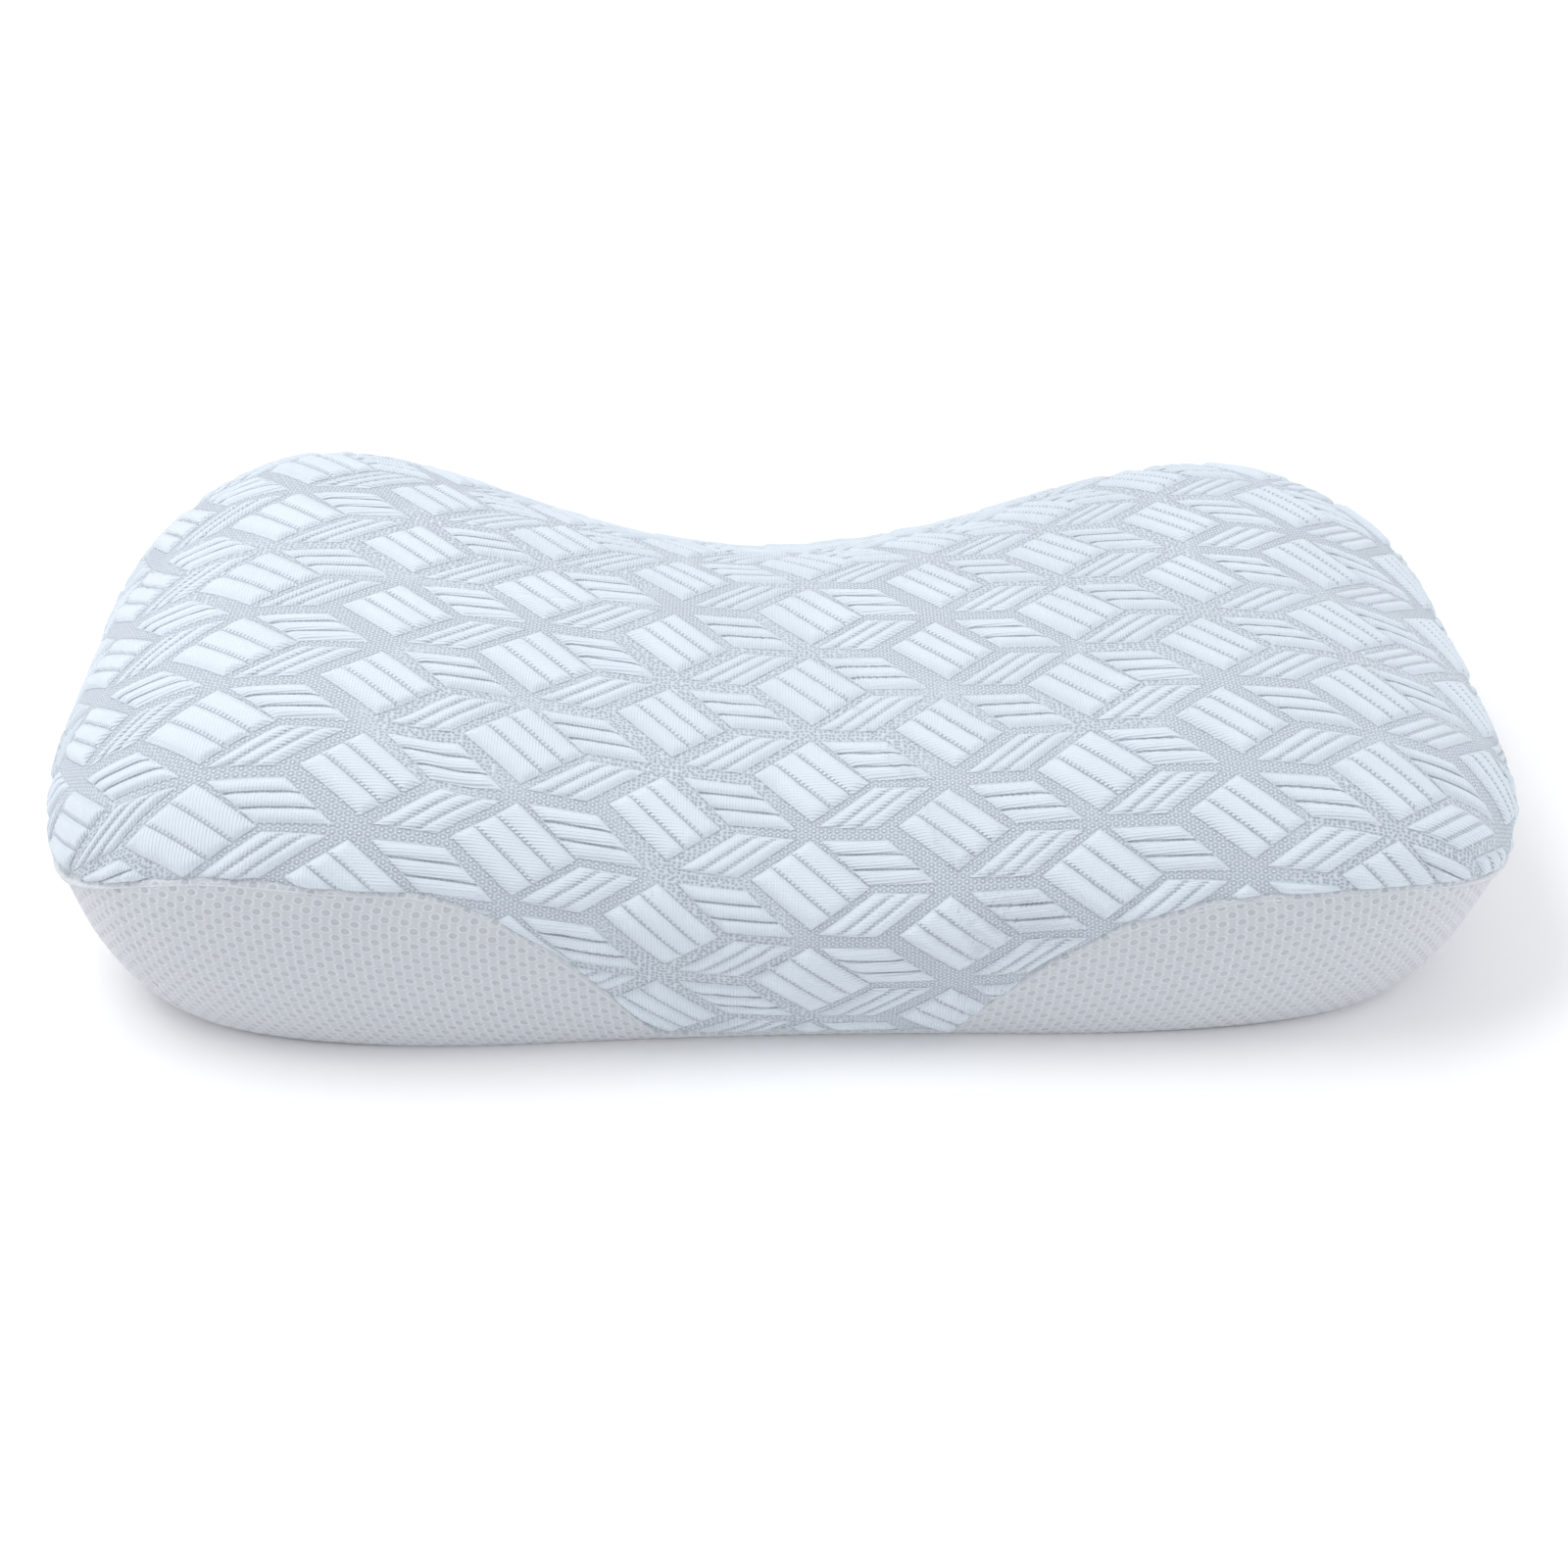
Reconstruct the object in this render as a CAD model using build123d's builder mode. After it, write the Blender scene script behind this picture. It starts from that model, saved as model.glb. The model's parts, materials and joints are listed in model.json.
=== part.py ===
from build123d import *
import math
import os

os.makedirs("parts", exist_ok=True)

# ------------------------------------------------------------------ driving dimensions, mm
LENGTH = 596.0          # overall, along X
DEPTH = 320.0           # front to rear along Y, at the girth
MID_SETBACK = 9.0       # how far the front of the middle sits behind the wings
TAPER = 0.09           # narrowing towards the rear
SQUARENESS = 4.55        # plan outline: 2 is an ellipse, larger is squarer

WING_X = 247.0          # where the wing crests sit, each side of the middle
WING_CROWN = 135.0      # full crown height of a wing
MID_CROWN = 109.5        # full crown height of the dip in the middle
WING_GIRTH_Z = 74.0     # height of the widest line at the wings
MID_GIRTH_Z = 45.5      # height of the widest line in the middle
WING_REAR_FALL = 1.0
MID_REAR_FALL = 55.0
WING_FRONT_FALL = 12.0
MID_FRONT_FALL = 5.0

WING_ROLL = 5.0         # large = flat top with a tight edge
MID_FRONT_ROLL = 3.15
MID_REAR_ROLL = 2.2
SHOULDER = 2.25
END_SHOULDER = 1.95
END_TUCK = 0.856         # where the underside leaves the floor, share of the half length
SIDE_TUCK = 0.90        # the same, share of the half depth
END_TUCK_CURVE = 1.48
SIDE_TUCK_CURVE = 2.07

COVER = 3.0             # cover thickness
LINER_OUT = 3.3         # inner liner, measured in from the outside of the cover
LINER_IN = 4.1
FOAM_IN = 4.4

SEAM_Z = 86.0           # level of the cover seam round the wings
SEAM_REAR_Z = 50.0
SEAM_FOOT_X = 60.0      # where the front seam reaches the bottom edge
SEAM_RUN = 125.0        # run over which it climbs to the wing level
SEAM_END_FALL = 24.0    # fall of the seam over the last 100 mm to each tip
SEAM_FOOT_Z = 4.0

TRAY_LENGTH = 300.0     # recess in the rear wall that holds the zip
TRAY_HEIGHT = 24.0
TRAY_Z = 31.0
TRAY_Y = DEPTH / 2 - 10.0
TRAY_FLOOR = 2.0
SLOT_LENGTH = 280.0
SLOT_HEIGHT = 16.0

TAPE_T = 0.7
TAPE_LENGTH = 288.0
TAPE_IN = 2.2           # tape edge, from the middle of the zip
TAPE_OUT = 11.0
TAPE_Y = TRAY_Y - TRAY_FLOOR - TAPE_T / 2
COIL_LENGTH = 268.0
COIL_IN = 0.7
COIL_T = 2.1
STOP_LENGTH = 3.0

SLIDER_X = 125.0        # slider at the closed end
SLIDER_LENGTH = 12.0
SLIDER_WIDTH = 8.6
PLATE_T = 1.2
CAVITY = 1.65
FLANGE_T = 1.1
FLANGE_GAP = 0.75
BLADE_T = 0.6
BRIDGE_WIDTH = 2.4
PULL_Y = TAPE_Y + CAVITY + PLATE_T + 0.95
PULL_T = 1.2
PULL_LENGTH = 22.0
PULL_WIDTH = 6.8

STATIONS = 18           # sections from the middle to each tip
ARC = 18                # spans round the top, and round the underside, of a section
LAST_STATION = 0.995


# ------------------------------------------------------------------ the pillow form
def smooth(u):
    u = min(max(u, 0.0), 1.0)
    return u * u * (3 - 2 * u)


def mix(a, b, w):
    return a + (b - a) * w


def crown(t, v, w, inset):
    """Height of the upper surface at station t, depth share v."""
    top = mix(MID_CROWN, WING_CROWN, w) - inset
    if v > 0:
        top -= mix(MID_REAR_FALL, WING_REAR_FALL, w) * v * v
        roll = mix(MID_REAR_ROLL, WING_ROLL, w)
    else:
        top -= mix(MID_FRONT_FALL, WING_FRONT_FALL, w) * v * v
        roll = mix(MID_FRONT_ROLL, WING_ROLL, w)
    girth = mix(MID_GIRTH_Z, WING_GIRTH_Z, w)
    end = abs(t) ** SQUARENESS
    side = abs(v) ** SQUARENESS
    r = (end + side) ** (1 / SQUARENESS)
    shoulder = mix(SHOULDER, END_SHOULDER, end / max(end + side, 1e-9))
    return girth + (top - girth) * max(1 - r ** roll, 0.0) ** (1 / shoulder)


def belly(t, v, w, inset):
    """Height of the under surface, taken 2 mm low so the base can be cut flat."""
    girth = mix(MID_GIRTH_Z, WING_GIRTH_Z, w)
    low = inset - 2.0
    end = abs(t) ** SQUARENESS
    side = abs(v) ** SQUARENESS
    r = (end + side) ** (1 / SQUARENESS)
    share = end / max(end + side, 1e-9)
    tuck = mix(SIDE_TUCK, END_TUCK, share)
    curve = mix(SIDE_TUCK_CURVE, END_TUCK_CURVE, share)
    out = min(max((r - tuck) / (1 - tuck), 0.0), 1.0)
    return low + (girth - low) * (1 - (1 - out ** curve) ** (1 / curve))


def section(t, inset):
    """Points of one cross-section, as (y, z): over the top, then back underneath."""
    w = smooth(abs(t) * LENGTH / 2 / WING_X)
    front = -DEPTH / 2 + MID_SETBACK * (1 - w) + inset
    rear = DEPTH / 2 - inset
    reach = (1 - abs(t) ** SQUARENESS) ** (1 / SQUARENESS)
    over = []
    under = []
    for i in range(ARC + 1):
        v = -reach * math.cos(math.pi * i / ARC)
        y = (front + rear) / 2 + (rear - front) / 2 * v
        over.append((y, crown(t, v, w, inset)))
        under.append((y, belly(t, v, w, inset)))
    under[0] = over[0]
    under[-1] = over[-1]
    return over, under[::-1]


def station_plane(t, inset):
    """Upright plane of a station; it leans with the taper."""
    x = (LENGTH / 2 - inset) * t
    run = Vector(-x * TAPER / 300, 1, 0)
    return Plane(origin=(x, 0, 0), x_dir=run, z_dir=run.cross(Vector(0, 0, 1))), run.length


def pillow_form(inset, tray_y, tray_grow):
    """The whole pillow shape, set in by a distance, with its flat base and zip recess."""
    marks = [i / ARC for i in range(ARC + 1)]
    with BuildPart() as form:
        for k in range(-STATIONS, STATIONS + 1):
            t = math.sin(k / STATIONS * math.asin(LAST_STATION))
            plane, stretch = station_plane(t, inset)
            over, under = section(t, inset)
            with BuildSketch(plane):
                with BuildLine():
                    for row in (over, under):
                        points = [Vector(y * stretch, z) for y, z in row]
                        add(Edge.make_spline(points, parameters=marks))
                make_face()
        loft()
        with Locations((0, 0, inset + 100)):
            Box(LENGTH - 2 * inset, DEPTH + 40, 200, mode=Mode.INTERSECT)
        with Locations((0, tray_y + 25, TRAY_Z)):
            Box(
                TRAY_LENGTH + 2 * tray_grow,
                50,
                TRAY_HEIGHT + 2 * tray_grow,
                mode=Mode.SUBTRACT,
            )
    return form.part


def seam_side(x):
    """Seam height along a wing, falling towards the tip."""
    return SEAM_Z - SEAM_END_FALL * max((x - 200) / 100, 0.0) ** 2.5


def seam_front(x):
    climb = min(max((x - SEAM_FOOT_X) / SEAM_RUN, 0.0), 1.0)
    rise = math.sin(math.pi / 2 * climb) ** 0.85
    return SEAM_FOOT_Z + (seam_side(x) - SEAM_FOOT_Z) * rise


def seam_rear(x):
    return mix(SEAM_REAR_Z, seam_side(x), smooth((x - 100) / 130))


def above(seam, start, depth):
    """Everything over a seam line, on one side of the middle plane."""
    far = LENGTH * 0.6
    high = 200.0
    xs = [start + (far - start) * i / 24 for i in range(25)]
    with BuildPart() as region:
        with BuildSketch(Plane.XZ):
            with BuildLine():
                for side in (-1, 1):
                    Spline(*[(side * x, seam(x)) for x in xs])
                    Line((side * far, seam(far)), (side * far, high))
                Line((-start, seam(start)), (start, seam(start)))
                Line((-far, high), (far, high))
            make_face()
        extrude(amount=depth)
    return region.part


outside = pillow_form(0.0, TRAY_Y, 0.0)
cover_void = pillow_form(COVER, TRAY_Y - TRAY_FLOOR, TRAY_FLOOR)
upper_region = above(seam_front, SEAM_FOOT_X, DEPTH) + above(seam_rear, 100.0, -DEPTH)

# ------------------------------------------------------------------ cover
with BuildPart() as top_panel:
    add(outside)
    add(cover_void, mode=Mode.SUBTRACT)
    add(upper_region, mode=Mode.INTERSECT)
top_panel.part.label = "top_panel"

with BuildPart() as mesh_underside:
    add(outside)
    add(cover_void, mode=Mode.SUBTRACT)
    add(upper_region, mode=Mode.SUBTRACT)
    with Locations((0, TRAY_Y - TRAY_FLOOR / 2, TRAY_Z)):
        Box(SLOT_LENGTH, 4 * TRAY_FLOOR, SLOT_HEIGHT, mode=Mode.SUBTRACT)
mesh_underside.part.label = "mesh_underside"

# ------------------------------------------------------------------ filling
foam_pocket_y = TAPE_Y - CAVITY - PLATE_T - 1.0
with BuildPart() as inner_liner:
    add(pillow_form(LINER_OUT, foam_pocket_y, TRAY_FLOOR + 0.4))
    add(pillow_form(LINER_IN, foam_pocket_y - 0.8, TRAY_FLOOR + 1.2), mode=Mode.SUBTRACT)
inner_liner.part.label = "inner_liner"

with BuildPart() as foam_core:
    add(pillow_form(FOAM_IN, foam_pocket_y - 1.1, TRAY_FLOOR + 1.5))
foam_core.part.label = "foam_core"


# ------------------------------------------------------------------ zip chain
def zip_tape(side):
    """One woven tape; side +1 is the upper one."""
    with BuildPart() as tape:
        with Locations((0, TAPE_Y, TRAY_Z + side * (TAPE_IN + TAPE_OUT) / 2)):
            Box(TAPE_LENGTH, TAPE_T, TAPE_OUT - TAPE_IN)
    return tape.part


def zip_coil(side):
    """One half of the coil, a rounded bar along the inner edge of its tape."""
    height = TAPE_IN - COIL_IN
    with BuildPart() as coil:
        with Locations((0, TAPE_Y, TRAY_Z + side * (COIL_IN + height / 2))):
            Box(COIL_LENGTH, COIL_T, height)
        fillet(coil.edges().filter_by(Axis.X), 0.3)
    return coil.part


def top_stop(side):
    """Small crimped stop at the closed end of one coil half."""
    with BuildPart() as stop:
        with Locations((COIL_LENGTH / 2 + STOP_LENGTH / 2, TAPE_Y, TRAY_Z + side * 1.45)):
            Box(STOP_LENGTH, COIL_T + 0.6, 1.5)
        fillet(stop.edges().filter_by(Axis.X), 0.3)
    return stop.part


zip_tape_upper = zip_tape(1)
zip_tape_upper.label = "zip_tape_upper"
zip_tape_lower = zip_tape(-1)
zip_tape_lower.label = "zip_tape_lower"
zip_coil_upper = zip_coil(1)
zip_coil_upper.label = "zip_coil_upper"
zip_coil_lower = zip_coil(-1)
zip_coil_lower.label = "zip_coil_lower"
zip_top_stop_upper = top_stop(1)
zip_top_stop_upper.label = "zip_top_stop_upper"
zip_top_stop_lower = top_stop(-1)
zip_top_stop_lower.label = "zip_top_stop_lower"

with BuildPart() as zip_bottom_stop:
    with Locations((-COIL_LENGTH / 2 - STOP_LENGTH / 2, TAPE_Y, TRAY_Z)):
        Box(STOP_LENGTH, COIL_T + 0.6, 2 * TAPE_IN)
    fillet(zip_bottom_stop.edges().filter_by(Axis.X), 0.4)
zip_bottom_stop.part.label = "zip_bottom_stop"

# ------------------------------------------------------------------ slider and pull
with BuildPart() as zip_slider_body:
    for out in (-1, 1):
        with Locations((SLIDER_X, TAPE_Y + out * (CAVITY + PLATE_T / 2), TRAY_Z)):
            Box(SLIDER_LENGTH, PLATE_T, SLIDER_WIDTH)
        for up in (-1, 1):
            flange_y = TAPE_Y + out * (CAVITY + FLANGE_GAP) / 2
            flange_z = TRAY_Z + up * (SLIDER_WIDTH - FLANGE_T) / 2
            with Locations((SLIDER_X, flange_y, flange_z)):
                Box(SLIDER_LENGTH, CAVITY - FLANGE_GAP, FLANGE_T)
    with Locations((SLIDER_X + 3.5, TAPE_Y, TRAY_Z)):
        Box(4.0, 2 * CAVITY, BLADE_T)
    corners = zip_slider_body.edges().filter_by(Axis.Y)
    ends = corners.filter_by(lambda e: abs(e.length - PLATE_T - CAVITY + FLANGE_GAP) < 0.01)
    fillet(ends, 0.9)
    bridge_y = TAPE_Y + CAVITY + PLATE_T
    with BuildSketch(Plane.XY.offset(TRAY_Z - BRIDGE_WIDTH / 2)):
        with BuildLine():
            Polyline(
                (SLIDER_X - 4.0, bridge_y),
                (SLIDER_X - 4.0, bridge_y + 1.4),
                (SLIDER_X - 2.6, bridge_y + 2.9),
                (SLIDER_X + 2.6, bridge_y + 2.9),
                (SLIDER_X + 4.0, bridge_y + 1.4),
                (SLIDER_X + 4.0, bridge_y),
                close=True,
            )
        make_face()
        with Locations((SLIDER_X, bridge_y + 1.0)):
            Rectangle(4.4, 2.0, mode=Mode.SUBTRACT)
    extrude(amount=BRIDGE_WIDTH)
zip_slider_body.part.label = "zip_slider_body"

with BuildPart() as zip_pull_tab:
    with BuildSketch(Plane.XZ.offset(-PULL_Y)):
        with BuildLine():
            Polyline(
                (SLIDER_X, TRAY_Z - PULL_WIDTH / 2),
                (SLIDER_X - PULL_LENGTH, TRAY_Z - PULL_WIDTH / 2 + 0.8),
                (SLIDER_X - PULL_LENGTH, TRAY_Z + PULL_WIDTH / 2 - 0.8),
                (SLIDER_X, TRAY_Z + PULL_WIDTH / 2),
                close=True,
            )
        make_face()
        with Locations((SLIDER_X - 2.3, TRAY_Z)):
            Rectangle(5.8, 4.0, mode=Mode.SUBTRACT)
        with Locations((SLIDER_X - PULL_LENGTH + 4.0, TRAY_Z)):
            Circle(1.4, mode=Mode.SUBTRACT)
    extrude(amount=PULL_T / 2, both=True)
    tips = zip_pull_tab.edges().filter_by(Axis.Y).sort_by(Axis.X)[:2]
    fillet(tips, 1.6)
    with Locations((SLIDER_X, PULL_Y, TRAY_Z)):
        Cylinder(PULL_T / 2, PULL_WIDTH)
zip_pull_tab.part.label = "zip_pull_tab"

# ------------------------------------------------------------------ files
export_step(foam_core.part, "parts/foam_core.step")
export_step(inner_liner.part, "parts/inner_liner.step")
export_step(top_panel.part, "parts/top_panel.step")
export_step(mesh_underside.part, "parts/mesh_underside.step")
export_step(zip_tape_upper, "parts/zip_tape_upper.step")
export_step(zip_tape_lower, "parts/zip_tape_lower.step")
export_step(zip_coil_upper, "parts/zip_coil_upper.step")
export_step(zip_coil_lower, "parts/zip_coil_lower.step")
export_step(zip_top_stop_upper, "parts/zip_top_stop_upper.step")
export_step(zip_top_stop_lower, "parts/zip_top_stop_lower.step")
export_step(zip_bottom_stop.part, "parts/zip_bottom_stop.step")
export_step(zip_slider_body.part, "parts/zip_slider_body.step")
export_step(zip_pull_tab.part, "parts/zip_pull_tab.step")
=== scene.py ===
"""Contoured bed pillow: quilted knit top, spacer-mesh underside, zip in the rear wall."""

import json
import math

import bmesh
import bpy
import numpy as np
from mathutils import Matrix, Vector

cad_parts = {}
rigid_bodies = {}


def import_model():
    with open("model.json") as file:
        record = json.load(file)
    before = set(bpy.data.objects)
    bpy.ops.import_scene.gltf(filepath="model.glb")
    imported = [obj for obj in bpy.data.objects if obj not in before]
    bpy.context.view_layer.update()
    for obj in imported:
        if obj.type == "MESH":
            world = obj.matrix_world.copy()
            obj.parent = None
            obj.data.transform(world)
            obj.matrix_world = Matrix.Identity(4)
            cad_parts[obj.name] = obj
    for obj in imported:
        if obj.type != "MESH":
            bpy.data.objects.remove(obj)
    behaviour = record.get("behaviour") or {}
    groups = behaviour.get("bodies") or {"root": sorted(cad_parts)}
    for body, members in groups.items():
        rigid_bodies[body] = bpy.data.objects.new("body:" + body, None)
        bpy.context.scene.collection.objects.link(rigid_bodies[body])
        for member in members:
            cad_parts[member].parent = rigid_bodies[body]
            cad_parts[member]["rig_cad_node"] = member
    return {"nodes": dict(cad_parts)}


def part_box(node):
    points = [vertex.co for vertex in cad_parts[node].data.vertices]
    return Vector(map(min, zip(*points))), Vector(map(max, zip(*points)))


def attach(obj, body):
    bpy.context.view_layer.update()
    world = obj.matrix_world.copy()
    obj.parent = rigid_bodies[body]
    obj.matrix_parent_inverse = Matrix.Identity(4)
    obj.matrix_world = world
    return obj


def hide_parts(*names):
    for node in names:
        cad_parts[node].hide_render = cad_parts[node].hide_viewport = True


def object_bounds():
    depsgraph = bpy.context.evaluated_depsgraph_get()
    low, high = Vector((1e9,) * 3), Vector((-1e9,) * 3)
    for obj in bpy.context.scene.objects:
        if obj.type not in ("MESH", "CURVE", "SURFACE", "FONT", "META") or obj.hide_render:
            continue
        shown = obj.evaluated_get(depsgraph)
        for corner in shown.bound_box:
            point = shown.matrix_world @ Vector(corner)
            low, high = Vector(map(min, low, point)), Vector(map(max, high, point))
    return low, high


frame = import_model()
cad_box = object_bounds()
nodes = frame["nodes"]
MM = 0.001

# ------------------------------------------------------------------ form, in mm
box_low, box_high = (np.array(c) / MM for c in cad_box)
HALF_LENGTH = (box_high[0] - box_low[0]) / 2
DEPTH = 2 * box_high[1]
MID_SETBACK = 9.0             # the front wall steps back between the wings
TAPER = 0.09                  # the front is longer than the rear
SQUARENESS = 4.55             # exponent of the plan's rounded rectangle
WING_X = 247.0
WING_CROWN, MID_CROWN = 135.0, 109.5
WING_GIRTH, MID_GIRTH = 74.0, 45.5
WING_REAR_FALL, MID_REAR_FALL = 1.0, 55.0
WING_FRONT_FALL, MID_FRONT_FALL = 12.0, 5.0
WING_ROLL, MID_FRONT_ROLL, MID_REAR_ROLL = 5.0, 3.15, 2.2
SHOULDER, END_SHOULDER = 2.25, 1.95
END_TUCK, SIDE_TUCK = 0.856, 0.90
END_TUCK_CURVE, SIDE_TUCK_CURVE = 1.48, 2.07
UNEVEN = 11.0                 # the left wing stands higher than the right
LEFT_LEAN = 9.0               # and leans inwards at its shoulder
BASE_SINK = 2.0               # the belly's curve would end this far under the floor
SEAM_SHIFT = 6.0              # the cover sits a little to the right
SEAM_Z, SEAM_END_FALL, SEAM_REAR_Z = 86.0, 24.0, 50.0
SEAM_LEFT_RISE, SEAM_RIGHT_FALL = 7.0, 8.5
SEAM_FOOT_X, SEAM_RUN, SEAM_RUN_LEFT, SEAM_FOOT_Z = 60.0, 125.0, 106.0, 4.0
QUILT_PROUD = 0.2             # height of the quilted top's bands over the form
HEM_LENGTH, HEM_DEPTH = 5.0, 3.0    # its edge turns in to meet the mesh
TUCK_LENGTH, TUCK_DEPTH = 4.0, 2.8  # the mesh carries on under that edge

tape_low, tape_high = (np.array(c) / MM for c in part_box("zip_tape_lower"))
upper_low, upper_high = (np.array(c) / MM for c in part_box("zip_tape_upper"))
coil_low, coil_high = (np.array(c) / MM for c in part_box("zip_coil_lower"))
ZIP_Z = (tape_low[2] + upper_high[2]) / 2
TAPE_Y = (tape_low[1] + tape_high[1]) / 2
TRAY_Y = tape_high[1] + 2.0
TRAY_HALF, TRAY_RISE = 150.0, 12.0
SLOT_HALF, SLOT_RISE = 140.0, 8.0
HEM_OUT = (2.2, 2.0)          # from the slot's edge to the middle of the zip's hem


def smooth(u):
    """0 below 0, 1 above 1, smooth between."""
    u = np.clip(u, 0.0, 1.0)
    return u * u * (3 - 2 * u)


def mix(a, b, w):
    return a + (b - a) * w


def uneven(t, x, z):
    """The left wing stands higher, and its shoulder leans in."""
    lean = LEFT_LEAN * np.clip((z - 75) / 45, 0, 1) * smooth((-t - 0.6) / 0.35)
    return x + lean, z - UNEVEN * t * np.clip((z - 40) / 80, 0, 1)


def form_points(t, v, upper, inset=0.0):
    """Points of the pillow's surface at plan shares t (along X) and v (along Y)."""
    w = smooth(abs(t) * HALF_LENGTH / WING_X)
    end, side = abs(t) ** SQUARENESS, abs(v) ** SQUARENESS
    r = (end + side) ** (1 / SQUARENESS)
    share = end / np.maximum(end + side, 1e-9)
    girth = mix(MID_GIRTH, WING_GIRTH, w)
    rear = v > 0
    fall = np.where(
        rear, mix(MID_REAR_FALL, WING_REAR_FALL, w), mix(MID_FRONT_FALL, WING_FRONT_FALL, w)
    )
    roll = mix(np.where(rear, MID_REAR_ROLL, MID_FRONT_ROLL), WING_ROLL, w)
    top = mix(MID_CROWN, WING_CROWN, w) - inset - fall * v * v
    bulge = np.clip(1 - r**roll, 0, 1) ** (1 / mix(SHOULDER, END_SHOULDER, share))
    crown = girth + (top - girth) * bulge
    tuck = mix(SIDE_TUCK, END_TUCK, share)
    curve = mix(SIDE_TUCK_CURVE, END_TUCK_CURVE, share)
    out = np.clip((r - tuck) / (1 - tuck), 0, 1)
    low = inset - BASE_SINK
    belly = low + (girth - low) * (1 - np.clip(1 - out**curve, 0, 1) ** (1 / curve))
    z = np.where(upper, crown, np.maximum(belly, inset))
    front_y = -DEPTH / 2 + MID_SETBACK * (1 - w) + inset
    rear_y = DEPTH / 2 - inset
    y = (front_y + rear_y) / 2 + (rear_y - front_y) / 2 * v
    x = (HALF_LENGTH - inset) * t * (1 - TAPER * y / 300)
    x, z = uneven(t, x, z)
    return np.stack([x, y, z], -1)


def seam_side(x):
    """Height of the seam along the sides; it sits higher on the left."""
    fall = SEAM_END_FALL * np.maximum((abs(x) - 200) / 100, 0) ** 2.5
    left = SEAM_LEFT_RISE * smooth((-x - 150) / 100)
    right = SEAM_RIGHT_FALL * smooth((x - 60) / 110)
    return SEAM_Z - fall + left - right


def seam_height(x, y):
    """Height of the cover's seam; the front line dips to the bottom edge in the middle."""
    side = seam_side(x - SEAM_SHIFT)
    run = np.where(x < 0, SEAM_RUN_LEFT, SEAM_RUN)
    x = abs(x - SEAM_SHIFT)
    climb = np.clip((x - SEAM_FOOT_X) / run, 0, 1)
    rise = np.sin(math.pi / 2 * climb) ** 0.85
    front = SEAM_FOOT_Z + (side - SEAM_FOOT_Z) * rise
    rear = mix(SEAM_REAR_Z, side, smooth((x - 100) / 130))
    return np.where(y < 0, front, rear)


def outline(theta):
    """Plan direction of theta, 0 to 4 round the four sides, as shares on the girth."""
    side = np.floor(theta).astype(int) % 4
    u = 2 * (theta - np.floor(theta)) - 1
    a = np.choose(side, [u, np.ones_like(u), -u, -np.ones_like(u)])
    b = np.choose(side, [-np.ones_like(u), u, np.ones_like(u), -u])
    k = (abs(a) ** SQUARENESS + abs(b) ** SQUARENESS) ** (-1 / SQUARENESS)
    return a * k, b * k


def resample(rows, at):
    """Each row of points at new positions along its own index."""
    n = rows.shape[1]
    at = np.clip(at, 0, n - 1.001)
    i = at.astype(int)
    f = (at - i)[..., None]
    r = np.arange(rows.shape[0])[:, None]
    return rows[r, i] * (1 - f) + rows[r, i + 1] * f


def bilinear(table, i, j):
    """Values of a table at fractional places along its first two axes."""
    i0, j0 = i.astype(int), j.astype(int)
    fi, fj = (i - i0)[..., None], (j - j0)[..., None]
    near = table[i0, j0] * (1 - fj) + table[i0, j0 + 1] * fj
    far = table[i0 + 1, j0] * (1 - fj) + table[i0 + 1, j0 + 1] * fj
    return near * (1 - fi) + far * fi


# ------------------------------------------------------------------ shader arithmetic
class Value:
    """A shader value that takes ordinary arithmetic and becomes math nodes."""

    def __init__(self, tree, socket):
        self.tree, self.socket = tree, socket

    def _op(self, kind, *others):
        node = self.tree.nodes.new("ShaderNodeMath")
        node.operation = kind
        for i, x in enumerate((self, *others)):
            if isinstance(x, Value):
                self.tree.links.new(x.socket, node.inputs[i])
            else:
                node.inputs[i].default_value = float(x)
        return Value(self.tree, node.outputs[0])

    def __add__(self, o):
        return self._op("ADD", o)

    def __radd__(self, o):
        return self._op("ADD", o)

    def __sub__(self, o):
        return self._op("SUBTRACT", o)

    def __rsub__(self, o):
        return (self * -1) + o

    def __mul__(self, o):
        return self._op("MULTIPLY", o)

    def __truediv__(self, o):
        return self._op("DIVIDE", o)

    def __abs__(self):
        return self._op("ABSOLUTE")

    def fract(self):
        return self._op("FRACT")

    def floor(self):
        return self._op("FLOOR")

    def sin(self):
        return self._op("SINE")

    def sqrt(self):
        return self._op("SQRT")

    def least(self, o):
        return self._op("MINIMUM", o)

    def most(self, o):
        return self._op("MAXIMUM", o)

    def over(self, o):
        return self._op("GREATER_THAN", o)

    def step(self, low, high):
        """0 below low, 1 above high, smooth between."""
        node = self.tree.nodes.new("ShaderNodeMapRange")
        node.interpolation_type = "SMOOTHSTEP"
        self.tree.links.new(self.socket, node.inputs["Value"])
        node.inputs["From Min"].default_value = low
        node.inputs["From Max"].default_value = high
        return Value(self.tree, node.outputs["Result"])

    def pick(self, one, other):
        """one where this is 1, other where it is 0."""
        return self * (one - other) + other


# ------------------------------------------------------------------ pattern coordinates
PITCH_X, PITCH_V = 57.0, 48.7      # one step of the quilting lattice
ORIGIN_U, ORIGIN_V = 9.0, -23.3
ROW_TILT, ROW_BOW = 0.035, 0.027
FAN = 0.0005                       # the columns spread towards the front
BACK_STRETCH, BACK_STRETCH_FROM = 8.0, 120.0
ROW_DENT = 0.09                    # a shallow bend of the rows behind the crest
# slow drift of the columns and rows, as factors of 1, x, y, xx, xy, yy, xxx, xxy
COL_DRIFT = (-0.065, 0.036, 0.036, 0.022, 0.023, 0.01, -0.011, -0.002)
ROW_DRIFT = (0.102, -0.036, -0.102, -0.019, 0.004, 0.025, 0.003, 0.017)


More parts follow.
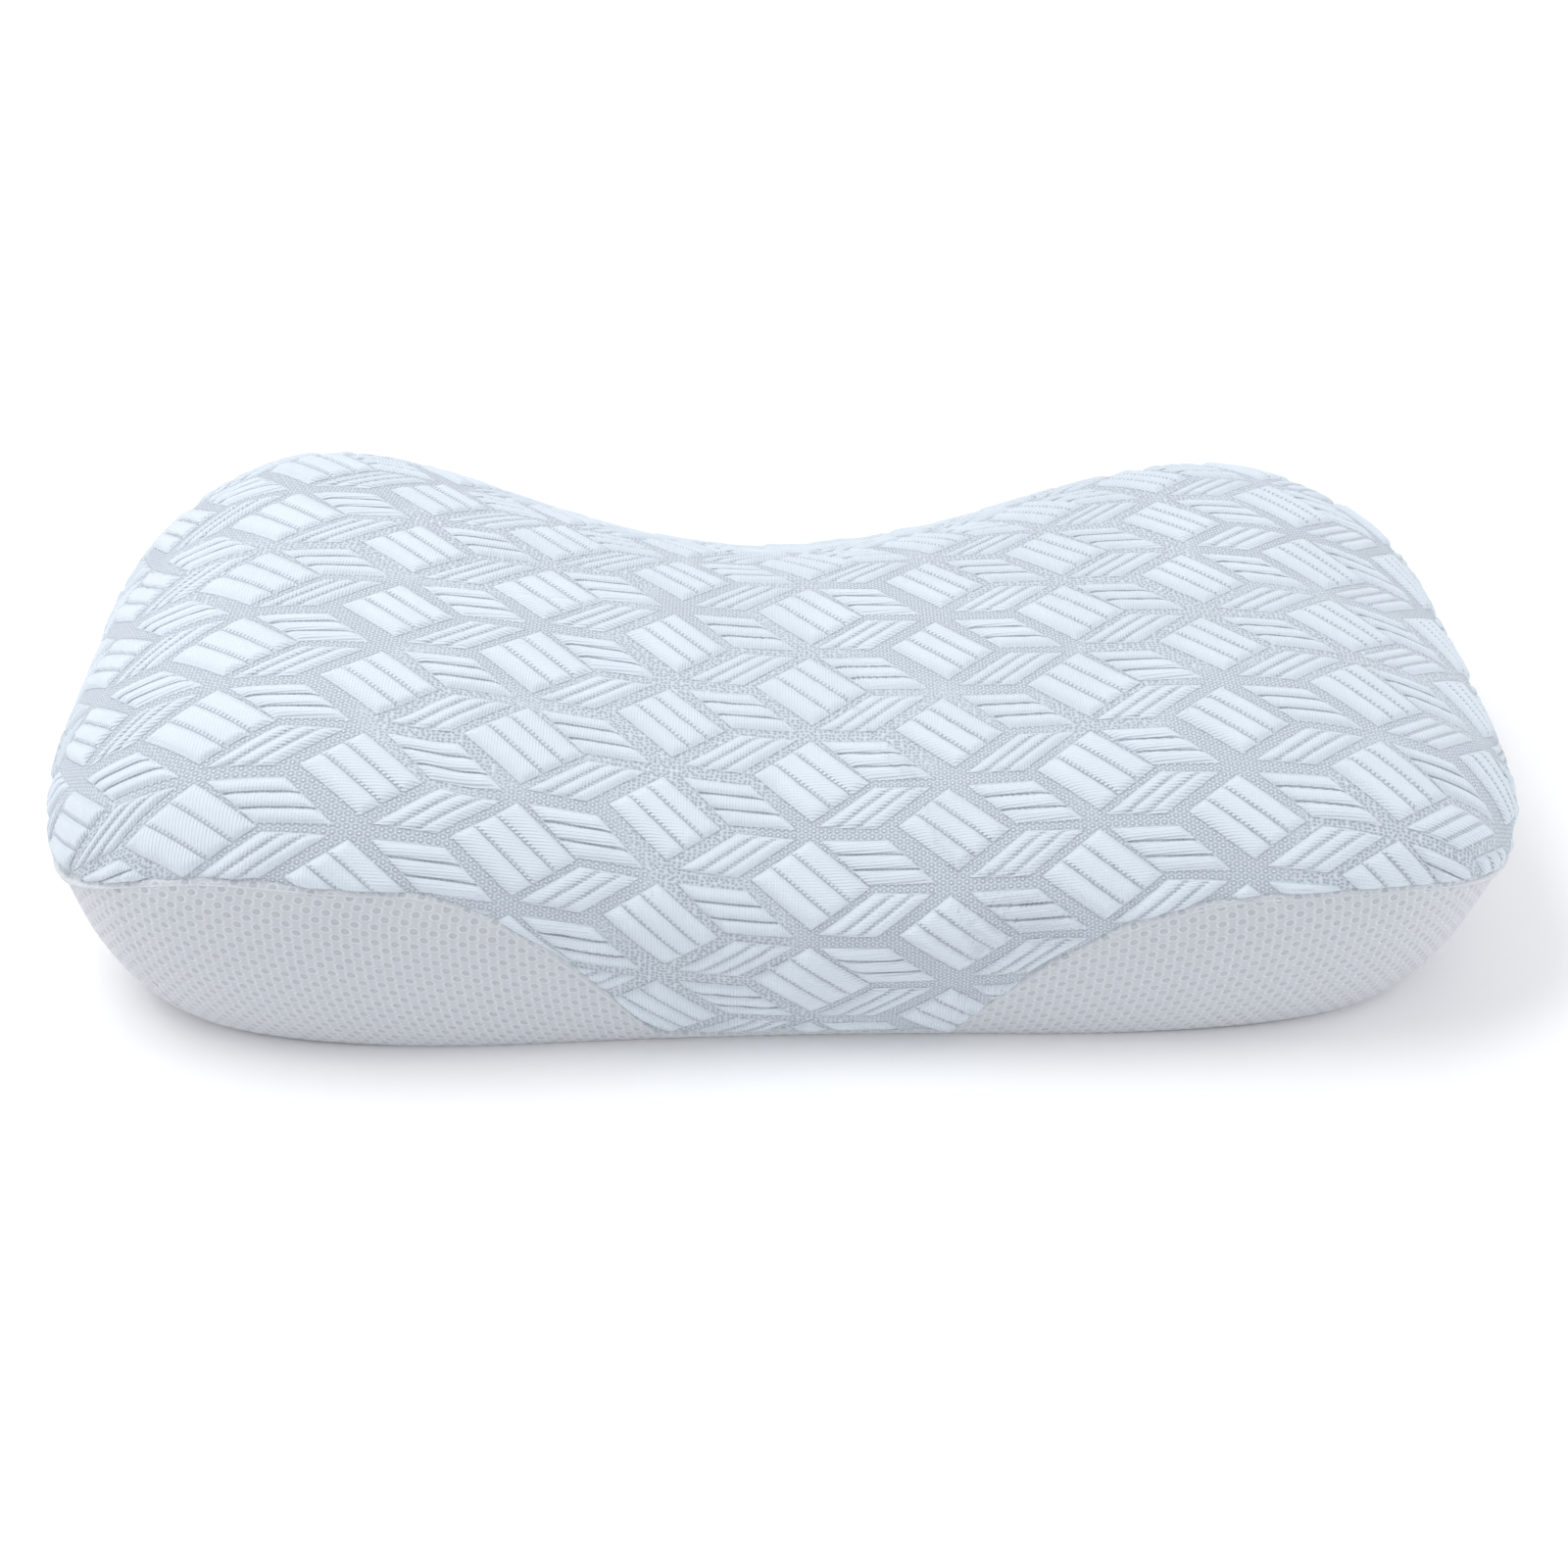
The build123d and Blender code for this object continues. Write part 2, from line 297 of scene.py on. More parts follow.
def lattice(u, v):
    """Lattice column and row of a cloth position, in mm from the middle of the crest."""
    v = v + BACK_STRETCH * np.clip((v - BACK_STRETCH_FROM) / 100, 0, 2) ** 2
    row = (v - ORIGIN_V - ROW_TILT * u - ROW_BOW * u * u / 300) / PITCH_V
    row = row - ROW_DENT * np.exp(-(((u - 25) / 130) ** 2) - ((v - 95) / 70) ** 2)
    col = (u - ORIGIN_U) / (PITCH_X * (1 + FAN * (v - 15)))
    x, y = np.clip(u / 100, -2.6, 2.6), np.clip(v / 100, -0.8, 1.6)
    terms = (1, x, y, x * x, x * y, y * y, x**3, x * x * y)
    col = col + sum(k * t for k, t in zip(COL_DRIFT, terms))
    row = row + sum(k * t for k, t in zip(ROW_DRIFT, terms))
    return col, row


TABLE_END = 89.8                   # degrees, just short of the wing ends
TABLE_ALONG, TABLE_DEEP = 400, 220


def cloth_table():
    """Cloth position over the crown, on a grid of station angle by depth angle."""
    alpha = np.linspace(-TABLE_END, TABLE_END, TABLE_ALONG + 1)
    depth = np.linspace(0, math.pi, TABLE_DEEP + 1)
    t = np.sin(np.radians(alpha))[:, None]
    reach = (1 - abs(t) ** SQUARENESS) ** (1 / SQUARENESS)
    grid = form_points(t + 0 * depth, reach * np.cos(depth), True)
    du = np.linalg.norm(np.diff(grid, axis=0), axis=-1)
    dv = np.linalg.norm(np.diff(grid, axis=1), axis=-1)
    u = np.vstack([np.zeros(TABLE_DEEP + 1), np.cumsum(du, 0)])
    v = np.hstack([np.zeros((TABLE_ALONG + 1, 1)), np.cumsum(dv, 1)])
    crest = v[:, TABLE_DEEP // 2][:, None]
    return np.stack([u - u[TABLE_ALONG // 2], v - crest], -1)


CLOTH = cloth_table()


def cloth_position(t, v):
    """Cloth position in mm, from the middle of the crest, at plan shares t and v."""
    t = np.clip(t, -0.99999, 0.99999)
    reach = (1 - abs(t) ** SQUARENESS) ** (1 / SQUARENESS)
    i = (np.degrees(np.arcsin(t)) / TABLE_END + 1) * TABLE_ALONG / 2
    j = np.arccos(np.clip(v / reach, -1, 1)) / math.pi * TABLE_DEEP
    i, j = np.clip(i, 0, TABLE_ALONG - 0.001), np.clip(j, 0, TABLE_DEEP - 0.001)
    return bilinear(CLOTH, i, j)


def profiles(count, inset=0.0, samples=180):
    """Profiles from the middle of the crown, over the girth and under to the base."""
    ts, vs = (c[:, None] for c in outline(np.arange(count + 1) * 4.0 / count))
    alpha = np.linspace(0, math.pi, 2 * samples + 1)
    r = np.sin(alpha)
    upper = (alpha <= math.pi / 2) + 0 * ts > 0
    points = form_points(ts * r, vs * r, upper, inset)
    step = np.linalg.norm(np.diff(points, axis=1), axis=-1)
    arc = np.hstack([np.zeros((count + 1, 1)), np.cumsum(step, 1)])
    return ts, vs, r, upper, points, arc


def first_below(values):
    """Index, with a fraction, where each row first goes below zero."""
    below = values < 0
    i = np.maximum(below.argmax(1), 1)
    r = np.arange(len(values))
    a, b = values[r, i - 1], values[r, i]
    return i - 1 + a / np.maximum(a - b, 1e-9)


def at_index(values, index):
    return resample(values[..., None], index[:, None])[:, 0, 0]


def seam_length(points, arc):
    """Length along each profile at which it reaches the cover's seam."""
    over = points[..., 2] - seam_height(points[..., 0], points[..., 1])
    over[:, : points.shape[1] // 4] = 1.0
    return at_index(arc, first_below(over))


def even_rows(points, arc, start, stop, count):
    """Points evenly spaced by length between two lengths along each profile."""
    want = start[:, None] + (stop - start)[:, None] * np.linspace(0, 1, count)
    index = np.stack([np.interp(w, a, np.arange(len(a))) for w, a in zip(want, arc)])
    return resample(points, index), want


# ------------------------------------------------------------------ mesh building
def grid_object(name, points, uv=None, keep=None):
    """A quad mesh from a grid of points in mm, with an optional UV layer."""
    n, m = points.shape[:2]
    ids = np.arange(n * m).reshape(n, m)
    quads = np.stack([ids[:-1, :-1], ids[1:, :-1], ids[1:, 1:], ids[:-1, 1:]], -1)
    if keep is not None:
        quads = quads[keep]
    quads = quads.reshape(-1, 4)
    mesh = bpy.data.meshes.new(name)
    mesh.vertices.add(n * m)
    mesh.vertices.foreach_set("co", (points.reshape(-1, 3) * MM).ravel())
    mesh.loops.add(quads.size)
    mesh.loops.foreach_set("vertex_index", quads.ravel().astype(np.int32))
    mesh.polygons.add(len(quads))
    mesh.polygons.foreach_set("loop_start", np.arange(0, quads.size, 4, dtype=np.int32))
    mesh.update(calc_edges=True)
    if uv is not None:
        layer = mesh.uv_layers.new(name="cloth")
        layer.data.foreach_set("uv", uv.reshape(-1, 2)[quads.ravel()].ravel())
    mesh.shade_smooth()
    mesh.validate()
    obj = bpy.data.objects.new(name, mesh)
    bpy.context.scene.collection.objects.link(obj)
    return obj


def normals(points):
    a, b = np.gradient(points, axis=0), np.gradient(points, axis=1)
    n = np.cross(a, b)
    return n / np.maximum(np.linalg.norm(n, axis=-1, keepdims=True), 1e-9)


def fract(a):
    return a.fract() if isinstance(a, Value) else a - np.floor(a)


def floor(a):
    return a.floor() if isinstance(a, Value) else np.floor(a)


def least(a, b):
    return a.least(b) if isinstance(a, Value) else np.minimum(a, b)


class Block:
    """One kind of quilted block: a parallelogram of three bars, in lattice steps."""

    def __init__(self, middle, shift, bars_along, bars_across, narrow=0.0):
        self.middle, self.shift, self.narrow = middle, shift, narrow
        self.along, self.across = bars_along, bars_across
        a = np.array(bars_along) * (PITCH_X, PITCH_V)
        b = np.array(bars_across) * (PITCH_X, PITCH_V)
        area = abs(a[0] * b[1] - a[1] * b[0])
        self.width = area / np.hypot(*a)
        self.length = area / np.hypot(*b)
        self.run = np.hypot(*a)

    def locate(self, x, y, odd):
        """Share across and along the block, and how far inside its edge, in mm."""
        (ax, ay), (bx, by) = self.along, self.across
        det = ax * by - ay * bx
        x = x - self.middle[0] - odd * self.shift
        y = y - self.middle[1]
        along = (x * by - y * bx) / det
        across = (y * ax - x * ay) / det * (1 + odd * self.narrow)
        deep = 0.5 - abs(across)
        width = self.width / (1 + 0.5 * self.narrow)
        inside = least(deep * width, (0.5 - abs(along)) * self.length)
        return across + 0.5, along + 0.5, inside


DOWN = Block((0.01, 0.525), -0.01, (0.42, 0.44), (-0.41, 0.40), 0.12)
LEVEL = Block((0.475, 0.315), 0.03, (0.48, 0.0), (0.335, 0.415))
RISING = Block((0.455, -0.205), 0.05, (0.40, -0.40), (0.41, 0.02))


def quilt_blocks(col, row):
    """The three kinds of block at a lattice position."""
    near = floor(col + 0.5)
    odd = fract(near * 0.5) * 2
    found = [(DOWN, DOWN.locate(col - near, fract(row - near * 0.5), odd))]
    near = floor(col)
    odd = fract(near * 0.5) * 2
    y = fract(row - near * 0.5 + 0.45) - 0.45
    found.append((LEVEL, LEVEL.locate(col - near, y, odd)))
    found.append((RISING, RISING.locate(col - near, y, odd)))
    return found


def quilt_relief(col, row):
    """Height of the puffed bars, in mm: three bars to a block over sunk bands."""
    height = 0 * col
    for kind, (across, along, inside) in quilt_blocks(col, row):
        bar = np.clip(across, 0, 0.9999) * 3 % 1
        puff = np.clip(4 * bar * (1 - bar), 0, 1) ** 0.7
        fade = smooth(inside / 3.0)
        plump = 0.75 + 0.09 * kind.width / 3
        height = np.maximum(height, np.where(inside > 0, plump * puff * fade + 0.25 * fade, 0))
    return height


# ------------------------------------------------------------------ quilted top
def folds(p):
    """Slow unevenness of soft foam and cloth, in mm."""
    x, y = p[..., 0], p[..., 1]
    wave = 0.9 * np.sin(x / 61 + 1.3) * np.sin(y / 47 + 0.4)
    wave += 0.6 * np.sin(x / 29 - y / 37 + 2.0) * np.sin(y / 31)
    fold = np.exp(-(((x + 122) + 0.8 * (y + 120)) / 13) ** 2)
    fold *= np.exp(-(((y + 118) / 42) ** 2))
    return wave - 2.6 * fold


QUILT_STATIONS, QUILT_RINGS = 1400, 420
PUCKERS = 74                       # gathers round the edge


def build_quilt(across=560, deep=330):
    """The quilted top: a square grid laid over the crown, down to the seam."""
    ts, vs, r, upper, points, arc = profiles(QUILT_STATIONS)
    seam_arc = seam_length(points, arc)
    girth_arc = arc[:, (points.shape[1] - 1) // 2]
    cloth = cloth_position(ts * r, vs * r)
    edge = cloth_position(ts, vs)
    past = np.maximum(arc - girth_arc[:, None], 0)[..., None]
    share = abs(ts) ** SQUARENESS
    way = np.concatenate([np.sign(ts) * share, -np.sign(vs) * (1 - share)], -1)[:, None]
    cloth = np.where(upper[..., None], cloth, edge + past * way)
    both = np.concatenate([points, cloth], -1)
    table, _ = even_rows(both, arc, 0 * seam_arc, seam_arc, QUILT_RINGS)
    a, b = np.meshgrid(np.linspace(-1, 1, across), np.linspace(-1, 1, deep), indexing="ij")
    rho = np.maximum(np.maximum(abs(a), abs(b)), 1e-6)
    a1, b1 = a / rho, b / rho
    front, right, back = b1 <= -1 + 1e-9, a1 >= 1 - 1e-9, b1 >= 1 - 1e-9
    u = np.where(front, a1, np.where(right, b1, np.where(back, -a1, -b1)))
    side = np.where(front, 0, np.where(right, 1, np.where(back, 2, 3)))
    i = np.clip((side + (u + 1) / 2) / 4 * QUILT_STATIONS, 0, QUILT_STATIONS - 0.001)
    j = np.clip(rho * (QUILT_RINGS - 1), 0, QUILT_RINGS - 1.001)
    surface = bilinear(table, i, j)
    p, cloth = surface[..., :3], surface[..., 3:]
    to_edge = (1 - rho) * seam_arc[i.astype(int)]
    col, row = lattice(cloth[..., 0], cloth[..., 1])
    n = normals(p)
    n *= np.sign(n[across // 2, deep // 2, 2])
    tail = np.clip(to_edge / HEM_LENGTH, 0, 1)
    hem = np.sqrt(np.clip(1 - (1 - tail) ** 2, 0, 1))
    near_edge = np.exp(-to_edge / 12)
    gathers = np.sin(i / QUILT_STATIONS * 2 * math.pi * PUCKERS)
    pucker = 0.9 * near_edge * gathers * np.sin(i / 61 + 0.7)
    high = smooth((p[..., 2] - 3) / 9)
    lift = QUILT_PROUD * hem - HEM_DEPTH * (1 - hem)
    lift = lift + quilt_relief(col, row) * hem + pucker * hem * high + folds(p)
    base = p[..., 2] < 6
    lift = np.where(base, np.minimum(lift, 0.8), lift)
    p = p + n * lift[..., None]
    p[..., 2] = np.maximum(p[..., 2], 1.0)
    return grid_object("quilt_top", p, np.stack([col, row], -1) / 10)


def build_binding(count=900):
    """A narrow rolled edge under the quilted top, fuller at the wing tips."""
    ts, *_, points, arc = profiles(count)
    seam_arc = seam_length(points, arc) + 1.2
    path, _ = even_rows(points, arc, seam_arc, seam_arc, 1)
    path = path[:-1, 0]
    outward = path - np.array([0, 0, 60.0])
    outward[:, 2] *= 0.3
    outward /= np.linalg.norm(outward, axis=1, keepdims=True)
    tip = smooth((abs(ts[:-1, 0]) - 0.82) / 0.15)
    radius = 0.45 + 1.5 * tip
    path = path + outward * (0.4 * tip)[:, None]
    path[:, 2] = np.maximum(path[:, 2], radius + 0.2)
    return tube_object("seam_binding", path, radius[:, None, None], 8, True, up=(0, 0, 1))


# ------------------------------------------------------------------ mesh underside
HOLE_PITCH, HOLE_ROW = 7.8, 3.8
HOLE_HALF_U, HOLE_HALF_V = 1.6, 1.35


def press_recess(p, floor_y, grow, edge=2.5):
    """Pushes the rear wall in to the floor of the zip recess."""
    dx = TRAY_HALF + grow - abs(p[..., 0])
    dz = TRAY_RISE + grow - abs(p[..., 2] - ZIP_Z)
    inside = smooth(np.minimum(dx, dz) / edge) * (p[..., 1] > 0)
    p[..., 1] = np.where(
        inside > 0, mix(p[..., 1], np.minimum(p[..., 1], floor_y), inside), p[..., 1]
    )
    return p


def build_mesh_cover(count=1240, rows=78):
    """The mesh side wall and underside, with the zip's slot cut out at the rear."""
    *_, upper, points, arc = profiles(count)
    seam_arc = seam_length(points, arc)
    half = (points.shape[1] - 1) // 2
    base_arc = at_index(arc, first_below(np.where(upper, 1.0, points[..., 2] - 0.02)))
    base_arc = np.maximum(base_arc, seam_arc + 4)
    wall, wall_arc = even_rows(points, arc, seam_arc - TUCK_LENGTH, base_arc, rows)
    under, under_arc = even_rows(points, arc, base_arc, arc[:, -1], 24)
    p = np.concatenate([wall, under[:, 1:]], 1)
    along = np.concatenate([wall_arc, under_arc[:, 1:]], 1)
    down = along - arc[:, half : half + 1]
    below_seam = along - seam_arc[:, None]
    girth = points[:, half]
    round_step = np.linalg.norm(np.diff(girth, axis=0), axis=-1)
    around = np.concatenate([[0], np.cumsum(round_step)])[:, None] + 0 * down
    on_floor = (np.arange(p.shape[1]) >= rows)[None, :] + 0 * down > 0
    u = np.where(on_floor, p[..., 0] + 1000 * HOLE_PITCH, around)
    v = np.where(on_floor, p[..., 1] + 1000 * HOLE_ROW, down)
    n = normals(p)
    n *= np.sign(n[count // 8, 10, 1]) * -1
    hr = v / HOLE_ROW
    hu = u / HOLE_PITCH + 0.5 * (np.floor(hr) % 2)
    cu, cv = (hu - np.floor(hu) - 0.5) * HOLE_PITCH, (hr - np.floor(hr) - 0.5) * HOLE_ROW
    hole = np.clip(1.3 - np.hypot(cu / HOLE_HALF_U, cv / HOLE_HALF_V), 0, 1)
    sag = 0.7 * np.sin(around / 33) * np.sin(down / 19 + 0.4) * smooth(below_seam / 12)
    lift = np.where(on_floor, 0, sag - 0.45 * smooth(hole) + 0.3 * (p[..., 2] > 3))
    lift = lift - TUCK_DEPTH * smooth(-below_seam / TUCK_LENGTH)
    p = p + n * lift[..., None]
    p = press_recess(p, TRAY_Y - 0.6, 0.0)
    p[..., 2] = np.maximum(p[..., 2], 0.0)
    mid = (p[:-1, :-1] + p[1:, 1:]) / 2
    deep = (abs(mid[..., 0]) < SLOT_HALF + 1.5) & (abs(mid[..., 2] - ZIP_Z) < SLOT_RISE + 0.8)
    keep = ~(deep & (mid[..., 1] > 0))
    return grid_object("mesh_cover", p, np.stack([u, v], -1) / 100, keep)


# ------------------------------------------------------------------ filling
def build_filling(name, inset, pocket_y, grow):
    """The whole form, drawn in by inset, with the pocket the zip sits in."""
    *_, points, arc = profiles(360, inset, 90)
    p, _ = even_rows(points, arc, 0 * arc[:, -1], arc[:, -1], 130)
    p = press_recess(p, pocket_y, grow, 1.0)
    return grid_object(name, p)


# ------------------------------------------------------------------ zip and hems
def tube_object(name, path, radius, sides=8, closed=False, flat=1.0, up=(0, 1, 0)):
    """A tube along a path in mm; flat squeezes it along the up direction."""
    path = np.asarray(path, float)
    if closed:
        ahead = np.roll(path, -1, 0) - np.roll(path, 1, 0)
    else:
        ahead = np.gradient(path, axis=0)
    ahead /= np.linalg.norm(ahead, axis=1, keepdims=True)
    side = np.cross(ahead, np.array(up, float))
    side /= np.maximum(np.linalg.norm(side, axis=1, keepdims=True), 1e-9)
    over = np.cross(side, ahead)
    turn = np.linspace(0, 2 * math.pi, sides + 1)
    ring = np.cos(turn)[None, :, None] * side[:, None] * radius
    ring = ring + np.sin(turn)[None, :, None] * over[:, None] * radius * flat
    p = path[:, None] + ring
    if closed:
        p = np.concatenate([p, p[:1]], 0)
    obj = grid_object(name, p)
    weld(obj)
    return obj


def weld(obj):
    """Joins the doubled seam of a closed grid and fills open ends."""
    bm = bmesh.new()
    bm.from_mesh(obj.data)
    bmesh.ops.remove_doubles(bm, verts=bm.verts, dist=1e-7)
    bmesh.ops.holes_fill(bm, edges=[e for e in bm.edges if e.is_boundary], sides=0)
    bmesh.ops.recalc_face_normals(bm, faces=bm.faces)
    bm.to_mesh(obj.data)
    bm.free()


def rounded_rectangle(half_x, half_z, radius, y, step=2.0):
    """Points round a rectangle with rounded corners, in a plane of constant Y."""
    corners = []
    for k, (sx, sz) in enumerate(((1, 1), (-1, 1), (-1, -1), (1, -1))):
        for i in range(7):
            a = math.pi / 2 * (k + i / 6)
            cx, cz = sx * (half_x - radius), sz * (half_z - radius)
            corners.append((cx + radius * math.cos(a), y, cz + radius * math.sin(a)))
    pts = []
    for p, q in zip(corners, corners[1:] + corners[:1]):
        p, q = np.array(p), np.array(q)
        n = max(int(np.linalg.norm(q - p) / step), 1)
        pts += [p + (q - p) * i / n for i in range(n)]
    return np.array(pts) + np.array([0, 0, ZIP_Z])


def build_coil(name, side, pitch=1.7):
    """One half of the zip's coil, above (side 1) or below (side -1) the middle."""
    x0, x1 = coil_low[0] + 0.6, coil_high[0] - 0.6
    turns = (x1 - x0) / pitch
    a = np.linspace(0, 2 * math.pi * turns, int(turns * 14))
    phase = 0 if side > 0 else math.pi
    x = x0 + (x1 - x0) * a / a[-1]
    y = TAPE_Y + 0.78 * np.cos(a + phase)
    z = ZIP_Z + side * (1.45 + 0.48 * np.sin(a + phase))
    return tube_object(name, np.stack([x, y, z], 1), 0.26, 6, up=(1, 0, 0))


def build_stitches(name, rows, length=2.6, gap=1.3, radius=0.28):
    """Short thread stitches along straight rows of (x0, x1, y, z), in mm."""
    bm = bmesh.new()
    for x0, x1, y, z in rows:
        for k in range(int((x1 - x0) / (length + gap))):
            x = x0 + k * (length + gap) + length / 2
            place = Matrix.Translation(Vector((x, y, z)) * MM)
            made = bmesh.ops.create_icosphere(bm, subdivisions=1, radius=radius * MM)
            stretch = Matrix.Diagonal((length / 2 / radius, 1, 1, 1))
            bmesh.ops.transform(bm, matrix=place @ stretch, verts=made["verts"])
    mesh = bpy.data.meshes.new(name)
    bm.to_mesh(mesh)
    bm.free()
    mesh.shade_smooth()
    obj = bpy.data.objects.new(name, mesh)
    bpy.context.scene.collection.objects.link(obj)
    return obj


# ------------------------------------------------------------------ materials
class Material:
    """A procedural material, built up from Values."""

    def __init__(self, name, rough=0.8, metal=0.0, sheen=0.0):
        self.made = bpy.data.materials.new(name)
        self.made.use_nodes = True
        self.tree = self.made.node_tree
        self.shader = self.tree.nodes["Principled BSDF"]
        self.shader.inputs["Roughness"].default_value = rough
        self.shader.inputs["Metallic"].default_value = metal
        self.shader.inputs["Sheen Weight"].default_value = sheen

    def uv(self, scale):
        node = self.tree.nodes.new("ShaderNodeUVMap")
        node.uv_map = "cloth"
        return self._split(node.outputs[0], scale)

    def place(self, scale):
        """Position on the object, in mm times scale."""
        node = self.tree.nodes.new("ShaderNodeTexCoord")
        return self._split(node.outputs["Object"], scale)

    def _split(self, socket, scale):
        node = self.tree.nodes.new("ShaderNodeSeparateXYZ")
        self.tree.links.new(socket, node.inputs[0])
        return [Value(self.tree, o) * scale for o in node.outputs]

    def noise(self, scale, detail=2.0):
        coord = self.tree.nodes.new("ShaderNodeTexCoord")
        node = self.tree.nodes.new("ShaderNodeTexNoise")
        node.inputs["Scale"].default_value = scale
        node.inputs["Detail"].default_value = detail
        self.tree.links.new(coord.outputs["Object"], node.inputs["Vector"])
        return Value(self.tree, node.outputs[0])

    def cells(self, u, v, jitter):
        """Distance to the nearest of a loose grid of points one unit apart."""
        join = self.tree.nodes.new("ShaderNodeCombineXYZ")
        self.tree.links.new(u.socket, join.inputs[0])
        self.tree.links.new(v.socket, join.inputs[1])
        node = self.tree.nodes.new("ShaderNodeTexVoronoi")
        node.voronoi_dimensions = "2D"
        node.inputs["Scale"].default_value = 1.0
        node.inputs["Randomness"].default_value = jitter
        self.tree.links.new(join.outputs[0], node.inputs["Vector"])
        return Value(self.tree, node.outputs["Distance"])

    def blend(self, factor, low, high):
        """Colour from low to high by a value, or by another blend."""
        node = self.tree.nodes.new("ShaderNodeMix")
        node.data_type = "RGBA"
        self.tree.links.new(factor.socket, node.inputs["Factor"])
        for name, colour in (("A", low), ("B", high)):
            socket = [s for s in node.inputs if s.name == name and s.type == "RGBA"][0]
            if isinstance(colour, bpy.types.NodeSocket):
                self.tree.links.new(colour, socket)
            else:
                socket.default_value = (*colour, 1)
        return [s for s in node.outputs if s.type == "RGBA"][0]

    def colour(self, socket):
        self.tree.links.new(socket, self.shader.inputs["Base Color"])

    def roughness(self, value):
        self.tree.links.new(value.socket, self.shader.inputs["Roughness"])

    def bump(self, height, distance_mm, strength=1.0):
        node = self.tree.nodes.new("ShaderNodeBump")
        node.inputs["Distance"].default_value = distance_mm * MM
        node.inputs["Strength"].default_value = strength
        self.tree.links.new(height.socket, node.inputs["Height"])
        self.tree.links.new(node.outputs[0], self.shader.inputs["Normal"])


def quilt_material():
    """Pale ribbed bars with drawn seams, over bands of dots and of chained rings."""
    m = Material("quilted_knit", 0.86, sheen=0.2)
    col, row, _ = m.uv(10)
    u_mm, v_mm = col * PITCH_X, row * PITCH_V
    block = line = light_dots = rise = soft = None
    for kind, (across, along, inside) in quilt_blocks(col, row):
        filled = inside.step(-0.35, 0.45)
        split = (across - 0.5) * kind.width
        off = abs(split) - kind.width / 6
        run = along * kind.run
        beat = abs((run / 2.0).fract() - 0.5)
        within = inside.step(0.1, 0.7)
        if kind is LEVEL:
            seam = (1 - abs(off).step(0.22, 0.62)) * (beat * 0.5 + 0.8)
            tooth, pale = seam * 0, seam * 0
            outline = (1 - abs(inside + 0.1).step(0.15, 0.5)) * 0.35
        elif kind is DOWN:
            side = split - kind.width / 6
            other = split + kind.width / 6
            teeth = 1 - abs(side + 0.75).step(0.3, 0.75)
            teeth = teeth.most(1 - abs(other + 0.75).step(0.3, 0.75))
            seam = (1 - abs(off).step(0.1, 0.5)) * 0.6
            tooth = teeth * beat.step(0.26, 0.4) * 0.6
            pale = teeth * (1 - beat.step(0.12, 0.22))
            outline = (1 - abs(inside + 0.1).step(0.1, 0.5)) * 0.5
        else:
            seam = (1 - abs(off).step(0.1, 0.9)) * 0.42
            tooth = (1 - abs(abs(off) - 0.45).step(0.1, 0.5)) * beat.step(0.26, 0.4) * 0.75
            pale = seam * (1 - beat.step(0.12, 0.22))
            outline = (1 - abs(inside + 0.1).step(0.1, 0.5)) * 0.45
        drawn = (seam.most(tooth) * within).most(outline * (beat * 0.9 + 0.45))
        pale = pale * within
        puff = (1 - abs(off).step(0.0, 2.2)) * -1 * filled
        rounded = inside.step(-0.3, 2.2)
        if block is None:
            block, line, light_dots, rise, soft = filled, drawn, pale, puff, rounded
        else:
            block, line, soft = block.most(filled), line.most(drawn), soft.most(rounded)
            light_dots, rise = light_dots.most(pale), rise.least(puff)
    band = 1 - block
    specks = m.cells(u_mm / 1.9, v_mm / 1.6, 0.6)
    pips = 1 - specks.step(0.2, 0.42)
    gaps = specks.step(0.5, 0.75)
    stagger = ((v_mm / 2.7).floor() * 0.5).fract()
    ring_u = ((u_mm / 3.1 + stagger).fract() - 0.5) * 3.1
    ring_v = ((v_mm / 2.7).fract() - 0.5) * 2.7
    ring = (ring_u * ring_u + ring_v * ring_v).sqrt()
    rings = 1 - abs(ring - 1.02).step(0.16, 0.5)
    ringed = m.noise(9, 1).step(0.46, 0.54)
    pattern = ringed.pick(rings * 0.8, pips)
    shine = ringed.pick(1 - ring.step(0.3, 0.7), gaps)
    mottle = m.noise(16, 3)
    fine = m.noise(1100, 2)
    weft = (v_mm * 4.6 + u_mm * 0.3).sin() * 0.5 + 0.5
    warp = (u_mm * 5.2).sin() * 0.5 + 0.5
    ribs = m.noise(11, 1).step(0.4, 0.6).pick(weft, warp)
    tone = ribs * 0.5 + fine * 0.3 + mottle * 0.2
    cloth = m.blend(tone, (0.575, 0.64, 0.705), (0.69, 0.75, 0.81))
    ground = m.blend(band * (mottle * 0.3 + 0.12), cloth, (0.43, 0.48, 0.54))
    dark = (band * pattern * 0.5).most(line * (mottle * 0.3 + 0.6))
    drawn = m.blend(dark, ground, (0.165, 0.2, 0.25))
    light = (band * shine * 0.6).most(light_dots * 0.5)
    m.colour(m.blend(light, drawn, (0.74, 0.79, 0.84)))
    m.roughness(band * 0.1 + 0.78)
    height = rise * 0.6 - line * 0.35 + band * (shine * 0.4 - pattern * 0.35 - 0.2)
    m.bump(height + soft * 0.7 + ribs * block * 0.28 + fine * 0.05, 1.0, 0.9)
    return m.made


